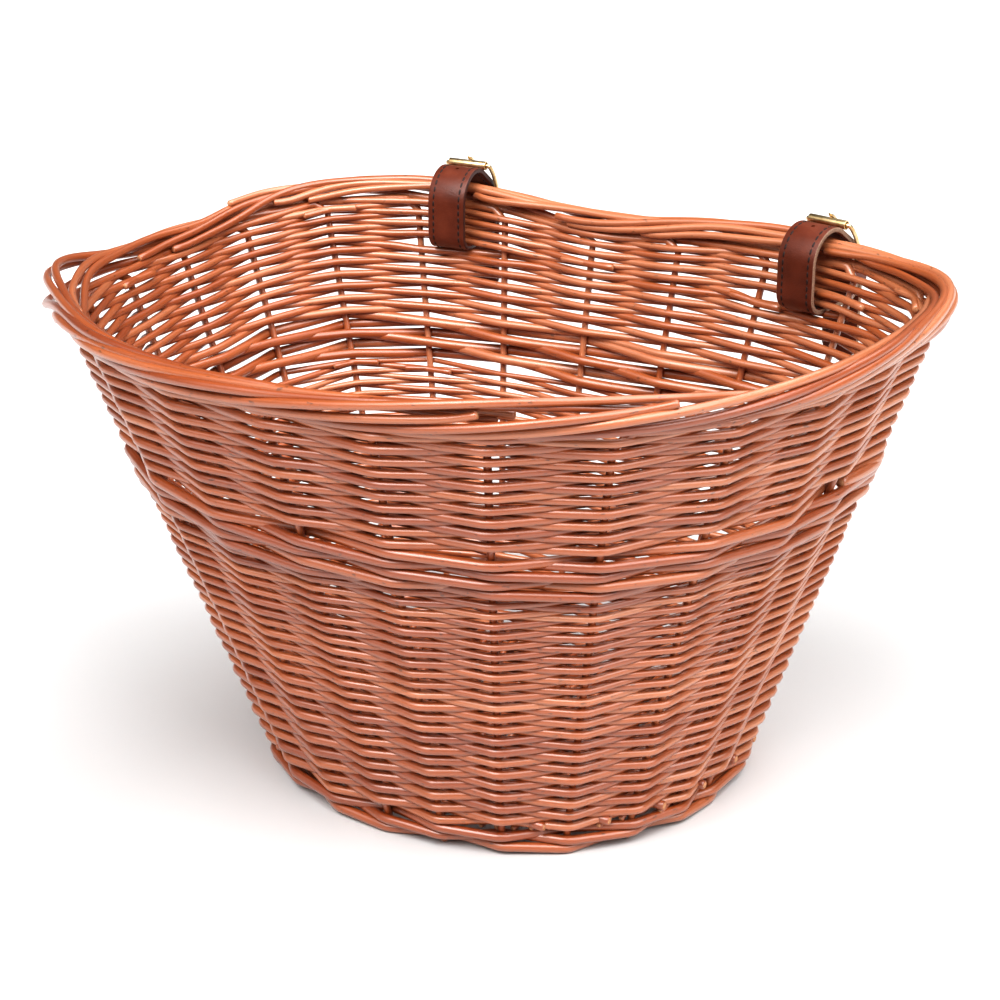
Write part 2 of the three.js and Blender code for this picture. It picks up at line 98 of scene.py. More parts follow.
# Rolled border made of the stakes' tails
BORDER_HALF_THICKNESS = 4.7
BORDER_HALF_HEIGHT = 5.3
BORDER_TAIL = 7.0
BORDER_TURN = math.radians(300)
BORDER_START = math.radians(-104)
BORDER_RADIUS = 2.2
BORDER_RUN = {"first": 0.12, "steps": 72, "power": 0.9, "swing": 0.8}
BORDER_SCATTER = {"tail": (-1.0, 0.5), "phase": 0.12, "size": (0.84, 1.14), "wave_phase": 6}
BORDER_TAPER = {"start": 1.04, "loss": 0.22}
SHORT_TAILS = {0: 3.4, 12: 4.1, 22: 2.9}
CUT_END = {"length": 0.3, "rise": 2.5}
LOOSE_FRONT = {"place": 2.6, "spread": 2.3, "rise": 5.2, "height": 2.5}
LOOSE_CORNER = {"place": 18.9, "spread": 0.7, "share": 0.6, "outer_share": 0.5}

# Waves along a tail: size, radians for a stake
BORDER_WAVES = ((0.9, 2.1), (0.5, 4.3))
WAVE_RISE = 0.6

# Tails that stand off the left corner: how far out and up, by stake
LOOPS = {15: (8.0, 3.0), 16: (12.0, 1.0), 17: (16.0, -9.0), 18: (15.0, -15.0)}

# Base
BASE_HEIGHT = 16.3
BASE_STICK_RADIUS = 2.3
BASE_STICK_PLACES = (2.5, 3.5, 4.5, 5.5, 6.5, 7.25, 8.3)
BASE_STICK_END = 3
BASE_STICK_STEPS = 24
BASE_ROD_RADIUS = 1.6
BASE_ROD_PITCH = 3.5
BASE_ROD_STEPS = 60
BASE_ROD_SCATTER = (0.92, 1.06)
BASE_PRESS = 0.9
BASE_INSET = 5.0
BASE_OUTLINE_STEPS = 400

# Straps and buckles, drawn in a side view: first out of the wall, then up
STRAP_PLACES = {"right": 9.5, "left": 13.5}
STRAP_WIDTH = 20.0
STRAP_THICKNESS = 2.4
STRAP_STEP = 0.9
STRAP_ROUNDING = 0.55
STRAP_EDGE = 0.3
STRAP_TIP = {"length": 7.0, "width": 0.35}
STRAP_PARTING = {"push": 1.65, "fade": 9.0, "reach": 0.85, "slope": 0.45}
STRAP_SLOPE = math.radians(35)
STRAP_SLOT_HEIGHT = 211.3
STRAP_INSIDE_REACH = 18.0
STRAP_INSIDE_RADIUS = 8.0
STRAP_OUTSIDE_RADIUS = 7.0
STRAP_TAIL_DROP = 52.0
STRAP_FOLD_RISE = 7.0
STRAP_BORDER_GAP = 0.5
BORDER_TOP = 245.15
SEAT_GAP = 0.3
BAR_RADIUS = 1.2
BAR_GAP = 0.4
BAR_CORE = 0.02
BAR_ROUNDING = 0.3
ARC = {"step": 0.8, "fewest": 4}
SAME_POINT = 1e-6
BUCKLE_SPAN = 20.0
BUCKLE_ROLLER_OUT = 6.0
BUCKLE_SIDE_GAP = 0.75
WIRE_RADIUS = 1.05
WIRE_BEND = 1.6
WIRE_STEP = 0.4
ARM_THICKNESS = 2.2
ARM_BULGE = 8.0
ARM_STEPS = 18
ROLLER_RADIUS = 2.2
ROLLER_ROUNDING = 0.2
ROLLER_SIDES = 36
ROLLER_BORE_GAP = 0.35
ROLLER_END_GAP = 0.45
PRONG_WIDTH = 3.0
PRONG_THICKNESS = 2.0
PRONG_EYE_RADIUS = 2.9
PRONG_EYE_GAP = 0.3
PRONG_EYE_ROUNDING = 0.4
PRONG_EYE_SIDES = 28
PRONG_ROUNDING = 0.85
PRONG_STEPS = 26
PRONG_TAPER = (1, 0.8)
PRONG_TIP_TAPER = (0.68, 0.4)
PRONG_TIP_REACH = 1.5
PRONG_ROOT_BACK = 1.0
PRONG_HUMP_BACK = 4.0
PRONG_SLOT = {"width": 4.4, "length": 7.0, "shift": -2.4, "rounding": 0.5, "steps": 7}
SPARE_HOLE = {"radius": 0.95, "before_roller": 11.0}
SHARP_RIM = math.radians(40)
TAIL_HOLES = {"radius": 2.0, "pitch": 16.0, "count": 2, "above_tip": 8.0, "past": 0.2}
KEEPER_HEIGHT = 6.0
KEEPER_THICKNESS = 1.6
KEEPER_RISE = 1.0
KEEPER_SLACK = 1.8
KEEPER_CORNER = 1.2
KEEPER_ROUNDING = 0.4
KEEPER_STEP = 0.8
STITCH = {"length": 2.7, "pitch": 3.5, "inset": 3.0, "half_width": 0.5, "height": 0.24,
          "rounding": 0.95, "steps": 6, "end": 0.96, "from_fold": 26.0, "from_tip": 9.0}

# Camera, found from the basket's outline in the photograph
CAMERA_AZIMUTH = math.radians(32)
CAMERA_ELEVATION = math.radians(22.7)
CAMERA_DISTANCE = 1186.0
CAMERA_TARGET = (0.0, -19.0, 123.5)
CAMERA_LENS = 90.9
CAMERA_SHIFT = (0.0125, 0.022)
SENSOR_WIDTH = 36.0

# Floor, light and view
FLOOR_HALF = 30.0 * METRE
WORLD_STRENGTH = 0.15
LIGHTS = {
    "key_light": {"azimuth": -2, "elevation": 42, "spread": 34, "strength": 1.5},
    "right_light": {"azimuth": 84, "elevation": 46, "spread": 56, "strength": 3.1},
    "left_light": {"azimuth": -40, "elevation": 42, "spread": 50, "strength": 0.6},
    "top_light": {"azimuth": 12, "elevation": 60, "spread": 40, "strength": 2.4},
    "back_light": {"azimuth": 165, "elevation": 58, "spread": 44, "strength": 1.5},
}
VIEW_GAMMA = 0.8


# Lines and directions

def unit(vectors):
    return vectors / np.linalg.norm(vectors, axis=-1, keepdims=True)


def run_lengths(points):
    """How far along a line each of its points lies."""
    steps = np.linalg.norm(np.diff(points, axis=0), axis=1)
    return np.concatenate([[0.0], np.cumsum(steps)])


def turns(sides):
    return FULL_TURN * np.arange(sides) / sides


def ways_round(tangents, level, turn):
    """Directions out of a line all round it, counted from a rough level direction."""
    first = unit(level - np.sum(level * tangents, axis=1, keepdims=True) * tangents)
    second = np.cross(tangents, first)
    return np.cos(turn)[None, :, None] * first[:, None] + np.sin(turn)[None, :, None] * second[:, None]


# The wall: places are counted in stakes, counter-clockwise from the middle of the front

def outline_point(outline, angle):
    cosine = np.cos(angle)
    sine = np.sin(angle)
    depth = np.where(sine > 0, outline["back_depth"], outline["front_depth"])
    power = 2 / np.where(sine > 0, outline["back_power"], outline["front_power"])
    x = outline["half_width"] * np.sign(cosine) * np.abs(cosine) ** power
    y = depth * np.sign(sine) * np.abs(sine) ** power
    return np.stack([x, y], axis=-1)


rim_angles = np.linspace(-QUARTER_TURN, 3 * QUARTER_TURN, RIM_STEPS + 1)
rim_lengths = run_lengths(outline_point(RIM, rim_angles))


def wall_point(place, height):
    place, height = np.broadcast_arrays(np.asarray(place, float), np.asarray(height, float))
    angle = np.interp(np.mod(place, STAKES) / STAKES * rim_lengths[-1], rim_lengths, rim_angles)
    share = (height / RIM_HEIGHT)[..., None]
    flat = outline_point(FOOT, angle) * (1 - share) + outline_point(RIM, angle) * share
    return np.concatenate([flat, height[..., None]], axis=-1)


def wall_out(place, height):
    place = np.asarray(place)
    along = wall_point(place + OUT_STEP, height) - wall_point(place - OUT_STEP, height)
    out = np.stack([along[..., 1], -along[..., 0], np.zeros(along.shape[:-1])], axis=-1)
    return unit(out)


# The wall's own axes in the frame: the first stake stands in the middle of the front
first_stake = np.array([corner.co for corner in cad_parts["stake_01"].data.vertices]) * METRE
stake_end = first_stake[first_stake[:, 2] < STAKE_FOOT + STAKE_RADIUS]
axes_shift = stake_end.mean(axis=0) - wall_point(0, STAKE_FOOT)
axes_shift[2] = 0.0


def to_frame(points):
    return (np.asarray(points, float) + axes_shift) / METRE


def from_place(place, middle):
    """How far a place is from another one, the short way round the basket."""
    return np.mod(place - middle + STAKES / 2, STAKES) - STAKES / 2


def bell(place, middle, spread):
    return np.exp(-(from_place(place, middle) / spread) ** 2)


def painted_back_light(place):
    """Painted light: how much paler the rods are painted towards the back than in front, standing in for
    light on the inside of the back wall.
    """
    turn = FULL_TURN * from_place(place, BACK_PAINTED_LIGHT["place"]) / STAKES
    return BACK_PAINTED_LIGHT["share"] * (0.5 + 0.5 * np.cos(turn))


# Meshes

def make_object(name, points, faces, materials, face_materials=None, attributes=None):
    mesh = bpy.data.meshes.new(name)
    mesh.from_pydata(to_frame(points).tolist(), [], faces)
    for material in materials:
        mesh.materials.append(material)
    mesh.polygons.foreach_set("use_smooth", [True] * len(mesh.polygons))
    if face_materials is not None:
        mesh.polygons.foreach_set("material_index", face_materials)
    for key, (kind, field, values) in (attributes or {}).items():
        layer = mesh.attributes.new(key, kind, "POINT")
        layer.data.foreach_set(field, np.asarray(values, np.float32).ravel())
    mesh.update()
    made = bpy.data.objects.new(name, mesh)
    bpy.context.scene.collection.objects.link(made)
    return made


def ring_faces(rings, count, closed=False):
    """Faces between rings of points, each ring joined to the next, and the last to the first if closed."""
    ring = np.arange(rings if closed else rings - 1)[:, None]
    side = np.arange(count)[None]
    onward = (ring + 1) % rings
    after = (side + 1) % count
    corners = [ring * count + side, ring * count + after, onward * count + after, onward * count + side]
    return np.stack(corners, axis=-1).reshape(-1, 4)


class Rods:
    """Willow rods gathered into one mesh. Each point knows its rod's tint, with painted light that makes
    the back paler, and its place on the rod.
    """

    def __init__(self):
        self.points = []
        self.faces = []
        self.cut_faces = []
        self.tints_and_painted_light = []
        self.grains = []
        self.count = 0

    def add(self, line, level, radius, places=None, sides=ROD_SIDES):
        """A rod along a line, with a rough level direction for its section, and cut ends."""
        line = np.asarray(line, float)
        tint_and_painted_light = np.full(len(line), chance.uniform(0, 1))
        # Painted light: by their places round the basket, the rods' tint is painted paler towards the back
        if places is not None:
            tint_and_painted_light = tint_and_painted_light + painted_back_light(places)
        radius = np.broadcast_to(np.asarray(radius, float), len(line)).copy()
        tangents = unit(np.gradient(line, axis=0))
        bevel = ROD_END["bevel_length"]
        end_radius = ROD_END["bevel_radius"]
        line = np.vstack([line[:1] - tangents[:1] * radius[0] * bevel, line,
                          line[-1:] + tangents[-1:] * radius[-1] * bevel])
        tangents = np.vstack([tangents[:1], tangents, tangents[-1:]])
        radius = np.concatenate([[radius[0] * end_radius], radius, [radius[-1] * end_radius]])
        level = np.broadcast_to(np.asarray(level, float), tangents[1:-1].shape)
        level = np.vstack([level[:1], level, level[-1:]])
        turn = turns(sides)
        rings = line[:, None] + radius[:, None, None] * ways_round(tangents, level, turn)
        lengths = run_lengths(line)
        seed = chance.uniform(0, GRAIN_SPREAD)
        grain = np.empty_like(rings)
        grain[..., 0] = lengths[:, None] + seed
        grain[..., 1] = radius[:, None] * np.cos(turn)[None] + seed
        grain[..., 2] = radius[:, None] * np.sin(turn)[None]
        self.faces += (ring_faces(len(line), sides) + self.count).tolist()
        last = (len(line) - 1) * sides
        self.cut_faces.append([self.count + corner for corner in reversed(range(sides))])
        self.cut_faces.append([self.count + last + corner for corner in range(sides)])
        self.points.append(rings.reshape(-1, 3))
        self.grains.append(grain.reshape(-1, 3))
        self.tints_and_painted_light.append(np.repeat(np.interp(lengths, lengths[1:-1], tint_and_painted_light), sides))
        self.count += len(line) * sides

    def make(self, name, *nodes):
        attributes = {
            "tint_and_painted_light": ("FLOAT", "value", np.concatenate(self.tints_and_painted_light)),
            "grain": ("FLOAT_VECTOR", "vector", np.concatenate(self.grains)),
        }
        face_materials = [0] * len(self.faces) + [1] * len(self.cut_faces)
        made = make_object(name, np.concatenate(self.points), self.faces + self.cut_faces,
                           [willow, cut_willow], face_materials, attributes)
        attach(made, "basket")
        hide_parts(*nodes)


# Materials

def new_material(name):
    material = bpy.data.materials.new(name)
    material.use_nodes = True
    nodes = material.node_tree.nodes
    return material, nodes, material.node_tree.links, nodes["Principled BSDF"]


def srgb(red, green, blue):
    """A colour as it looks on a screen, 0 to 255, as the shader's linear colour."""
    shares = [channel / 255 for channel in (red, green, blue)]
    linear = [s / 12.92 if s <= 0.04045 else ((s + 0.055) / 1.055) ** 2.4 for s in shares]
    return (*linear, 1.0)


def noise_node(nodes, links, vector, stretch, detail=3.0, roughness=0.55):
    mapping = nodes.new("ShaderNodeMapping")
    mapping.inputs["Scale"].default_value = stretch
    links.new(vector, mapping.inputs["Vector"])
    noise = nodes.new("ShaderNodeTexNoise")
    noise.inputs["Scale"].default_value = 1.0
    noise.inputs["Detail"].default_value = detail
    noise.inputs["Roughness"].default_value = roughness
    links.new(mapping.outputs["Vector"], noise.inputs["Vector"])
    return noise.outputs["Fac"]


def ramp_node(nodes, links, value, stops):
    ramp = nodes.new("ShaderNodeValToRGB")
    elements = ramp.color_ramp.elements
    while len(elements) < len(stops):
        elements.new(0.5)
    for element, (position, colour) in zip(elements, stops):
        element.position = position
        element.color = colour
    links.new(value, ramp.inputs["Fac"])
    return ramp.outputs["Color"]


def math_node(nodes, links, operation, first, second):
    node = nodes.new("ShaderNodeMath")
    node.operation = operation
    for socket, value in zip(node.inputs, (first, second)):
        if isinstance(value, (int, float)):
            socket.default_value = value
        else:
            links.new(value, socket)
    return node.outputs["Value"]


def mix_node(nodes, links, blend, share, first, second):
    node = nodes.new("ShaderNodeMix")
    node.data_type = "RGBA"
    node.blend_type = blend
    for name, value in (("Factor", share), ("A", first), ("B", second)):
        socket = node.inputs[name]
        if isinstance(value, (int, float, tuple)):
            socket.default_value = value
        else:
            links.new(value, socket)
    return node.outputs["Result"]


def grey(level):
    return (level, level, level, 1.0)


def bump_node(nodes, links, shader, height, distance, strength):
    bump = nodes.new("ShaderNodeBump")
    bump.inputs["Distance"].default_value = distance
    bump.inputs["Strength"].default_value = strength
    links.new(height, bump.inputs["Height"])
    links.new(bump.outputs["Normal"], shader.inputs["Normal"])


def attribute_node(nodes, name):
    node = nodes.new("ShaderNodeAttribute")
    node.attribute_name = name
    return node.outputs


def willow_material():
    material, nodes, links, shader = new_material("willow")
    grain = attribute_node(nodes, "grain")
    tint_and_painted_light = attribute_node(nodes, "tint_and_painted_light")
    broad = noise_node(nodes, links, grain["Vector"], stretch=(0.015, 0.3, 0.3))
    fine = noise_node(nodes, links, grain["Vector"], stretch=(0.09, 2.6, 2.6), detail=4.0)
    speck = noise_node(nodes, links, grain["Vector"], stretch=(0.22, 0.5, 0.5), detail=2.0)
    # The tint holds each rod's own tone plus painted light, paler towards the back; the ramp turns both
    # into colour
    rod_share = math_node(nodes, links, "MULTIPLY", tint_and_painted_light["Fac"], 0.5)
    broad_share = math_node(nodes, links, "MULTIPLY", broad, 0.45)
    shade = math_node(nodes, links, "ADD", rod_share, broad_share)
    colour = ramp_node(nodes, links, shade, [
        (0.10, srgb(136, 56, 14)),
        (0.40, srgb(159, 76, 25)),
        (0.65, srgb(178, 96, 46)),
        (0.90, srgb(198, 127, 86)),
    ])
    streaks = ramp_node(nodes, links, fine, [(0.3, grey(0.80)), (0.62, grey(1.0))])
    colour = mix_node(nodes, links, "MULTIPLY", share=0.8, first=colour, second=streaks)
    marks = ramp_node(nodes, links, speck, [(0.66, grey(1.0)), (0.73, grey(0.4))])
    colour = mix_node(nodes, links, "MULTIPLY", share=0.85, first=colour, second=marks)
    links.new(colour, shader.inputs["Base Color"])
    gloss = ramp_node(nodes, links, broad, [(0.25, grey(0.30)), (0.75, grey(0.44))])
    links.new(gloss, shader.inputs["Roughness"])
    shader.inputs["Coat Weight"].default_value = 1.0
    shader.inputs["Coat Roughness"].default_value = 0.34
    shader.inputs["Coat IOR"].default_value = 1.8
    bump_node(nodes, links, shader, fine, distance=0.0003, strength=0.35)
    return material


def cut_willow_material():
    material, nodes, links, shader = new_material("cut_willow")
    grain = attribute_node(nodes, "grain")
    rings = noise_node(nodes, links, grain["Vector"], stretch=(0.3, 1.1, 1.1))
    colour = ramp_node(nodes, links, rings, [(0.3, srgb(176, 112, 72)), (0.7, srgb(214, 168, 128))])
    links.new(colour, shader.inputs["Base Color"])
    shader.inputs["Roughness"].default_value = 0.7
    return material


def leather_material():
    material, nodes, links, shader = new_material("leather")
    place = nodes.new("ShaderNodeTexCoord").outputs["Object"]
    broad = noise_node(nodes, links, place, stretch=(70, 70, 70), detail=4.0)
    pores = nodes.new("ShaderNodeTexVoronoi")
    pores.inputs["Scale"].default_value = 1500
    links.new(place, pores.inputs["Vector"])
    colour = ramp_node(nodes, links, broad, [
        (0.3, srgb(88, 37, 19)),
        (0.55, srgb(106, 47, 26)),
        (0.8, srgb(121, 60, 36)),
    ])
    links.new(colour, shader.inputs["Base Color"])
    gloss = ramp_node(nodes, links, broad, [(0.3, grey(0.36)), (0.8, grey(0.52))])
    links.new(gloss, shader.inputs["Roughness"])
    bump_node(nodes, links, shader, pores.outputs["Distance"], distance=0.00015, strength=0.4)
    return material


def brass_material():
    material, nodes, links, shader = new_material("brass")
    place = nodes.new("ShaderNodeTexCoord").outputs["Object"]
    wear = noise_node(nodes, links, place, stretch=(260, 260, 260), detail=5.0)
    scratches = noise_node(nodes, links, place, stretch=(2400, 300, 2400), detail=3.0)
    colour = ramp_node(nodes, links, wear, [(0.35, srgb(214, 182, 130)), (0.7, srgb(242, 220, 178))])
    links.new(colour, shader.inputs["Base Color"])
    shader.inputs["Metallic"].default_value = 1.0
    gloss = ramp_node(nodes, links, wear, [(0.3, grey(0.27)), (0.75, grey(0.38))])
    links.new(gloss, shader.inputs["Roughness"])
    bump_node(nodes, links, shader, scratches, distance=0.00005, strength=0.2)
    return material


def plain_material(name, stretch, stops, roughness, detail=3.0, bump=None, specular=0.5):
    """Colours mixed by noise, with one roughness, and where it is given a bump of the same noise."""
    material, nodes, links, shader = new_material(name)
    place = nodes.new("ShaderNodeTexCoord").outputs["Object"]
    noise = noise_node(nodes, links, place, stretch, detail)
    links.new(ramp_node(nodes, links, noise, stops), shader.inputs["Base Color"])
    shader.inputs["Roughness"].default_value = roughness
    shader.inputs["Specular IOR Level"].default_value = specular
    if bump:
        bump_node(nodes, links, shader, noise, **bump)
    return material


willow = willow_material()
cut_willow = cut_willow_material()
leather = leather_material()
raw_edge_stops = [(0.3, srgb(122, 94, 77)), (0.7, srgb(166, 139, 118))]
raw_edge = plain_material("raw_leather_edge", (900, 900, 2200), raw_edge_stops, roughness=0.85, detail=4.0,
                          bump={"distance": 0.0002, "strength": 0.5})
painted_edge_stops = [(0.3, srgb(52, 24, 19)), (0.7, srgb(78, 38, 28))]
painted_edge = plain_material("painted_leather_edge", (300, 300, 900), painted_edge_stops, roughness=0.5,
                              detail=4.0)
thread_stops = [(0.35, srgb(26, 14, 14)), (0.7, srgb(56, 34, 30))]
thread = plain_material("thread", (3000, 3000, 3000), thread_stops, roughness=0.6)
brass = brass_material()
floor_stops = [(0.3, grey(0.60)), (0.7, grey(0.63))]
pale_floor = plain_material("pale_floor", (2, 2, 2), floor_stops, roughness=0.9, specular=0.1)


# Weave

stake_sway = chance.uniform(-STAKE_SWAY, STAKE_SWAY, STAKES)
for strap_place in STRAP_PLACES.values():
    for neighbour in (int(strap_place), int(strap_place) + 1):
        stake_sway[neighbour] = 0.0


def stake_point(stake, height):
    stake = np.asarray(stake, int)
    return wall_point(stake + stake_sway[stake % STAKES], height)


def row_wave(place, height):
    """How far a row lies off its level: the rows of a hand-woven wall rise and fall together."""
    turn = FULL_TURN * np.asarray(place) / STAKES
    wave = 0.0
    for weight, count, rise, phase in ROW_WAVES:
        wave = wave + weight * np.sin(count * turn + height / rise + phase)
    return ROW_WAVE * wave


def settled(place, height):
    """The rim has settled between the straps and in the left corner, and the rows below it follow."""
    share = np.clip((height - SETTLED_FROM) / (RIM_HEIGHT - SETTLED_FROM), 0, 1)
    drop = np.zeros(np.shape(place))
    for middle, spread, depth in SETTLING:
        drop = drop + depth * bell(place, middle, spread)
    return height - share * drop


def part_for_straps(place, height):
    """Rows part above and below the slots that the straps pass through."""
    for strap_place in STRAP_PLACES.values():
        distance = from_place(place, strap_place)
        window = np.clip((STRAP_PARTING["reach"] - np.abs(distance)) / STRAP_PARTING["slope"], 0, 1)
        window = window * window * (3 - 2 * window)
        off = np.interp(place - distance, place, height) - STRAP_SLOT_HEIGHT
        fade = np.exp(-np.abs(off) / STRAP_PARTING["fade"])
        height = height + window * np.sign(off) * STRAP_PARTING["push"] * fade
    return height


def woven_line(places, heights, side_at, reach):
    """A rod that runs straight from stake to stake and is eased round each of them."""
    total = 0
    eases = np.linspace(-EASING["reach"], EASING["reach"], EASING["steps"])
    for ease in eases:
        eased = places + ease
        stake = np.floor(eased).astype(int)
        share = (eased - stake)[:, None]
        ends = []
        for end in (stake, stake + 1):
            aside = (side_at(end) * reach)[:, None]
            ends.append(stake_point(end, heights) + aside * wall_out(end, heights))
        total = total + ends[0] * (1 - share) + ends[1] * share
    return total / len(eases)


def tuck_ends(line, places):
    """Both ends of a rod lie against the inside of the weave."""
    from_end = np.minimum(places - places[0], places[-1] - places)
    near_end = np.clip(1 - from_end / ROD_END["tuck_length"], 0, 1)
    push = near_end ** ROD_END["tuck_power"] * ROD_END["tuck_depth"]
    return line - push[:, None] * wall_out(places, line[:, 2])


def plain_side(stake):
    return np.where(np.asarray(stake) % 2 == 0, 1.0, -1.0)


def weave_siding(rods, siding, start):
    """Plain weave: one long climb in rods that start and end inside, each next one overlapping."""
    last = start + siding["rows"] * STAKES
    begin = start
    while begin < last:
        length = 2 * int(chance.integers(*SIDING_ROD["pairs"]))
        end = min(begin + length, last)
        places = np.arange(begin - ROD_END["past"], end + ROD_END["past"], 1 / STEPS_PER_STAKE)
        climb = np.clip((places - start) / (last - start), 0, 1)
        to_front = np.cos(FULL_TURN * places / STAKES)
        to_back = 0.5 - 0.5 * to_front
        crowding = siding["crowding"] + (siding["back_crowding"] - siding["crowding"]) * to_back
        crowded = climb * (1 + crowding * (1 - climb))
        heights = siding["bottom"] + (siding["top"] - siding["bottom"]) * crowded
        fade = np.clip(np.minimum(climb, 1 - climb) * siding["rows"] / SIDING_ROD["fade_rows"], 0, 1)
        heights = heights + fade * row_wave(places, heights)
        heights = settled(places, part_for_straps(places, heights))
        heights = heights + chance.normal(0, SIDING_ROD["lift"])
        middle = float(climb.mean())
        thickness = siding["thick"] + (siding["thin"] - siding["thick"]) * middle
        thickness = thickness * chance.uniform(*SIDING_ROD["scatter"])
        taper = np.linspace(*SIDING_ROD["taper"], len(places)) * (1 + FRONT_SWELL * to_front)
        line = woven_line(places, heights, plain_side, STAKE_RADIUS + PRESS * thickness)
        line = tuck_ends(line, places)
        rods.add(line, UP, thickness * taper, places)
        begin = end


def weave_wale(rods, wale):
    """Thicker rods that pass outside two stakes and inside the third, one stake on in each row."""
    for rod in range(wale["rods"]):
        start = SEAM_PLACE + chance.uniform(-WALE_ROD["start"], WALE_ROD["start"])

        def side_at(stake, row=rod):
            return np.where((np.asarray(stake) - row) % WALE_STROKE == 0, -1.0, 1.0)

        end = start + STAKES + WALE_ROD["past"]
        places = np.arange(start - ROD_END["past"], end, 1 / STEPS_PER_STAKE)
        heights = wale["bottom"] + rod * wale["pitch"] + np.zeros(len(places))
        heights += wale["slant"] * np.sin(FULL_TURN * (places - rod) / WALE_STROKE)
        on_ground = wale is FOOT_WALE and rod == 0
        if not on_ground:
            heights += WALE_ROD["wave"] * row_wave(places, heights)
        thickness = wale["radius"] * chance.uniform(*WALE_ROD["scatter"])
        line = woven_line(places, heights, side_at, STAKE_RADIUS + PRESS * thickness)
        line = tuck_ends(line, places)
        rods.add(line, UP, thickness * np.linspace(*WALE_ROD["taper"], len(places)), places)


def node_names(prefix):
    return sorted(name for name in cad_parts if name.startswith(prefix))


lower_rods = Rods()
weave_siding(lower_rods, LOWER_SIDING, SEAM_PLACE)
lower_rods.make("lower_siding_rods", *node_names("lower_siding"))

upper_rods = Rods()
weave_siding(upper_rods, UPPER_SIDING, SEAM_PLACE)
upper_rods.make("upper_siding_rods", *node_names("upper_siding"), "top_siding")

mid_wale_rods = Rods()
weave_wale(mid_wale_rods, MID_WALE)
mid_wale_rods.make("mid_wale_rods", *node_names("mid_wale"))

foot_wale_rods = Rods()
weave_wale(foot_wale_rods, FOOT_WALE)
foot_wale_rods.make("foot_wale_rods", *node_names("foot_wale"))


# Stakes and border

def border_line(stake):
    """A stake's tail: out of the wall, up the outside, over the top, and cut off on the inside."""
    tail = SHORT_TAILS.get(stake, BORDER_TAIL + chance.uniform(*BORDER_SCATTER["tail"]))
    places = stake + np.linspace(BORDER_RUN["first"], tail, BORDER_RUN["steps"])
    run = places - stake
    phase = BORDER_TURN * (run / BORDER_TAIL) ** BORDER_RUN["power"] + BORDER_START
    phase = phase + chance.uniform(-BORDER_SCATTER["phase"], BORDER_SCATTER["phase"])
    swing = np.clip(run / BORDER_RUN["swing"], 0, 1)
    wobble = np.zeros(len(places))
    for size, rate in BORDER_WAVES:
        wave_phase = chance.uniform(0, BORDER_SCATTER["wave_phase"])
        wobble = wobble + swing * size * np.sin(rate * run + wave_phase)
    to_end = np.clip((run - tail + CUT_END["length"]) / CUT_END["length"], 0, 1) ** 2
    front = bell(places, LOOSE_FRONT["place"], LOOSE_FRONT["spread"])
    corner = bell(places, LOOSE_CORNER["place"], LOOSE_CORNER["spread"])
    outer = LOOSE_CORNER["share"] + LOOSE_CORNER["outer_share"] * np.cos(phase)
    corner = corner * np.clip(outer, 0, 1)
    loop_out, loop_up = LOOPS.get(stake, (0.0, 0.0))
    spread = chance.uniform(*BORDER_SCATTER["size"])
    half_height = spread * (BORDER_HALF_HEIGHT + LOOSE_FRONT["height"] * front)
    heights = RIM_HEIGHT + LOOSE_FRONT["rise"] * front + half_height * np.sin(phase)
    heights = heights + WAVE_RISE * wobble + loop_up * corner
    heights = heights + chance.uniform(0, CUT_END["rise"]) * to_end
    heights = settled(places, heights)
    half_thickness = spread * BORDER_HALF_THICKNESS * (0.5 + 0.5 * swing)
    outward = half_thickness * np.cos(phase) + wobble + loop_out * corner
    outward = outward + chance.uniform(0, CUT_END["rise"]) * to_end
    line = wall_point(places, heights) + outward[:, None] * wall_out(places, heights)
    return line, wall_out(places, heights), places


def stake_line(stake, heights):
    places = stake + stake_sway[stake] + np.zeros(len(heights))
    heights = settled(places, heights)
    return wall_point(places, heights), wall_out(places, heights), places


def make_stakes():
    rods = Rods()
    upright_heights = np.linspace(STAKE_FOOT, STAKE_TOP, STAKE_STEPS)
    for stake in range(STAKES):
        upright, upright_out, upright_places = stake_line(stake, upright_heights)
        tail, tail_out, tail_places = border_line(stake)
        line = np.vstack([upright, tail])
        level = np.vstack([upright_out, tail_out])
        places = np.concatenate([upright_places, tail_places])
        share = np.linspace(0, 1, len(tail))
        tapered = BORDER_RADIUS * (BORDER_TAPER["start"] - BORDER_TAPER["loss"] * share)
        radius = np.concatenate([np.full(len(upright), STAKE_RADIUS), tapered])
        rods.add(line, level, radius, places)
    rods.make("stakes_and_border", *node_names("stake_"))


make_stakes()


# Base

def base_sticks():
    found = []
    for place in BASE_STICK_PLACES:
        point = wall_point(place, BASE_HEIGHT)
        found.append((float(point[0]), float(point[1])))
    return found


